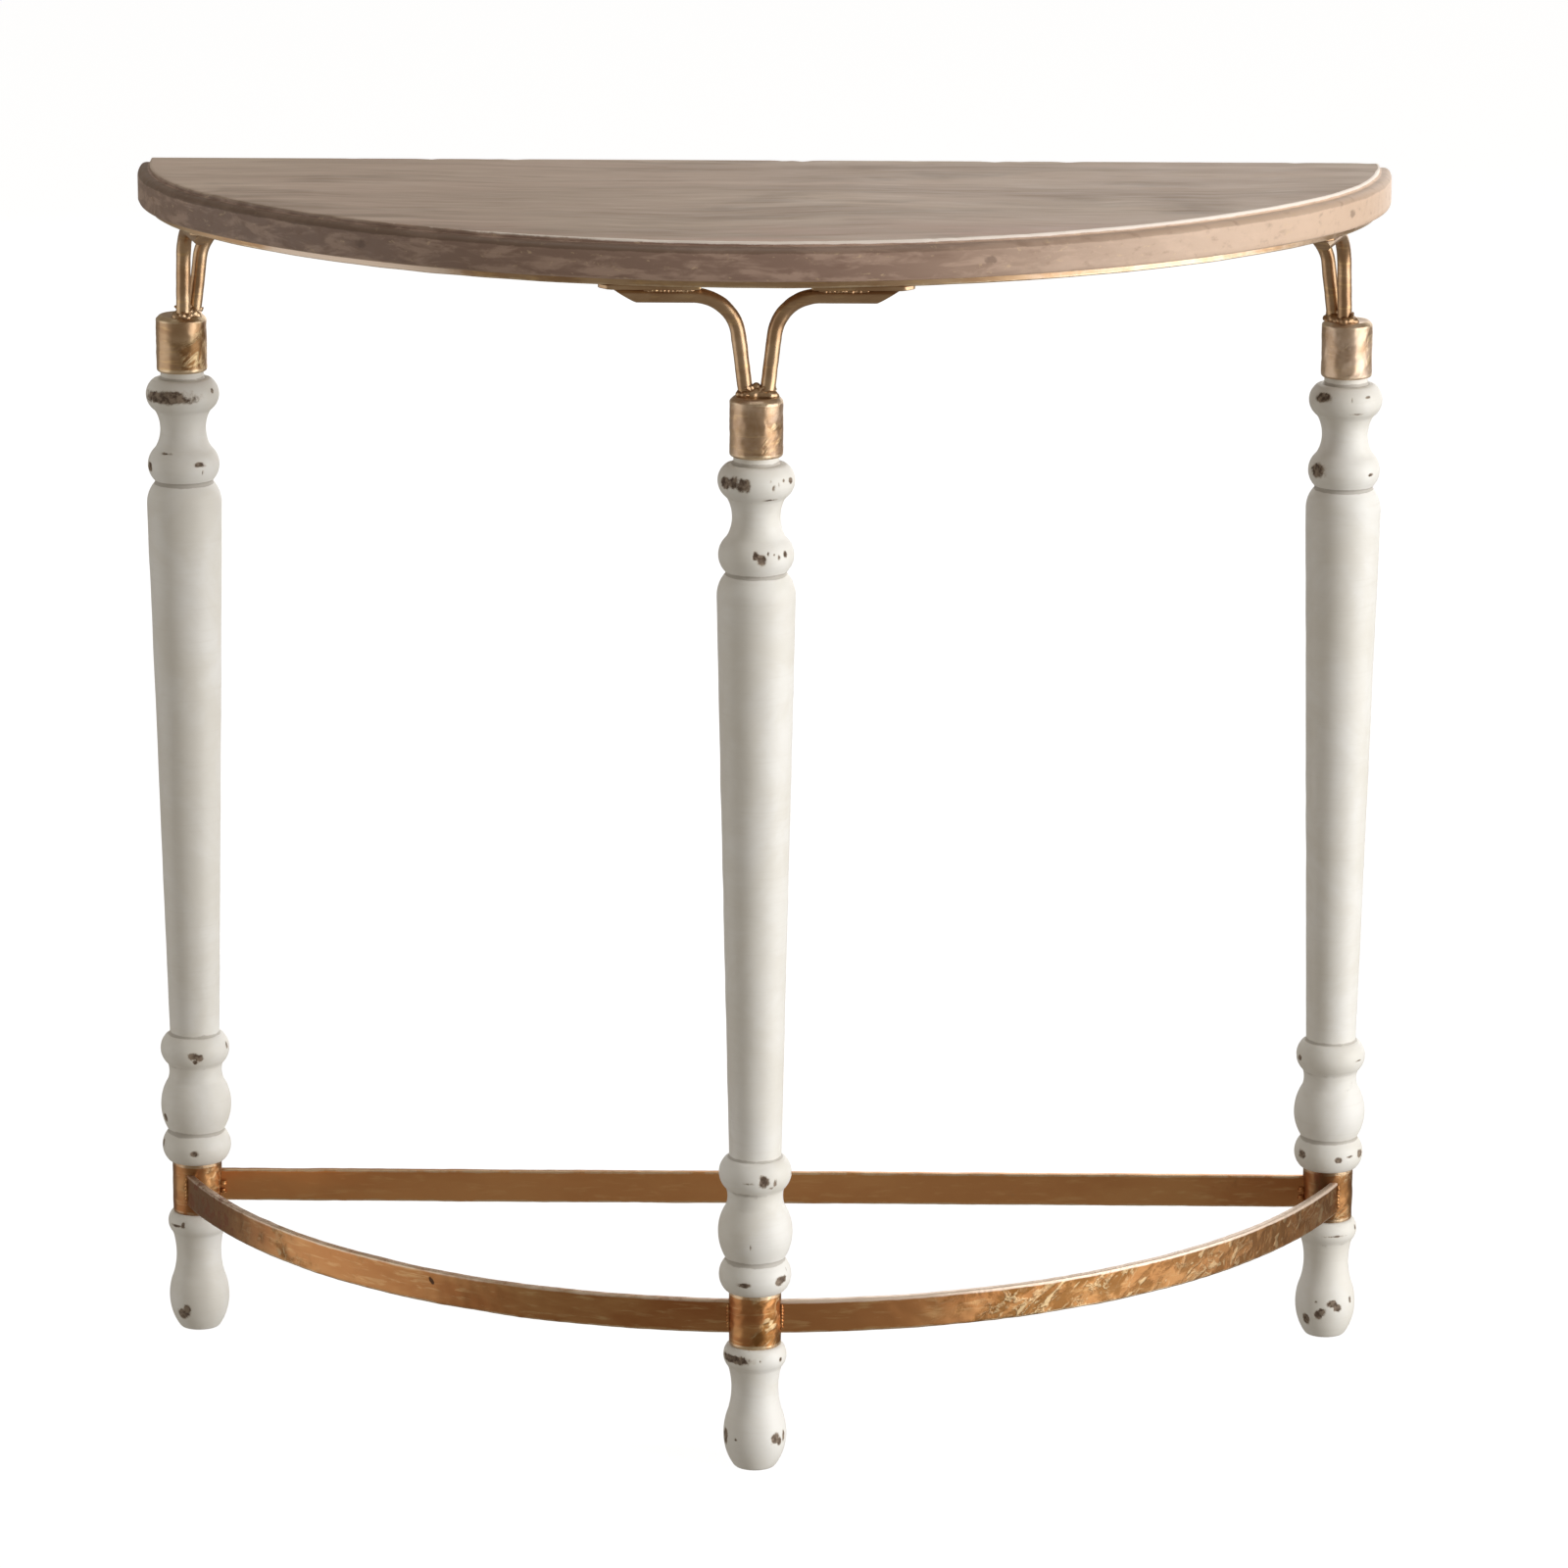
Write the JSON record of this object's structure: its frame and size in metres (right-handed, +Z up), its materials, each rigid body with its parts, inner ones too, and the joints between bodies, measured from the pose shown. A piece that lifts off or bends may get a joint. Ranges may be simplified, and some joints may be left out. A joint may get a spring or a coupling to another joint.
{
  "type": "entryway table",
  "caption": "Half-moon entryway table: a wooden top on a gilded steel rim, carried by bent-rod brackets and turned, painted legs that flat-bar stretchers tie together.",
  "frame": {"origin": "on the floor, under the middle of the top's width and depth", "axes": "+X to the right seen from the curved front, +Y to the straight back, +Z up"},
  "size_m": [0.824, 0.3249, 0.8],
  "materials": {
    "weathered_wood": "weathered, matt",
    "painted_wood": "chalky paint, worn",
    "gilded_steel": "rubbed gold",
    "plain_steel": "bare"
  },
  "bodies": {
    "root": {"table_top": "weathered_wood", "leg_left": "painted_wood", "leg_centre": "painted_wood", "leg_right": "painted_wood", "foot_left": "painted_wood", "foot_centre": "painted_wood", "foot_right": "painted_wood", "top_rim_arc": "gilded_steel", "top_rim_back_bar": "gilded_steel", "front_stretcher_left": "gilded_steel", "front_stretcher_right": "gilded_steel", "back_stretcher": "gilded_steel", "strap_left_inner": "gilded_steel", "strap_left_front": "gilded_steel", "strap_centre_left": "gilded_steel", "strap_centre_right": "gilded_steel", "strap_right_front": "gilded_steel", "strap_right_inner": "gilded_steel", "bracket_rod_left_inner": "gilded_steel", "bracket_rod_left_front": "gilded_steel", "bracket_rod_centre_left": "gilded_steel", "bracket_rod_centre_right": "gilded_steel", "bracket_rod_right_front": "gilded_steel", "bracket_rod_right_inner": "gilded_steel", "bracket_weld_left": "gilded_steel", "bracket_weld_centre": "gilded_steel", "bracket_weld_right": "gilded_steel", "leg_cap_left": "gilded_steel", "leg_cap_centre": "gilded_steel", "leg_cap_right": "gilded_steel", "collar_left": "gilded_steel", "collar_centre": "gilded_steel", "collar_right": "gilded_steel", "joint_stud_left": "plain_steel", "joint_stud_centre": "plain_steel", "joint_stud_right": "plain_steel", "rim_screws": "plain_steel"}
  },
  "joints": []
}
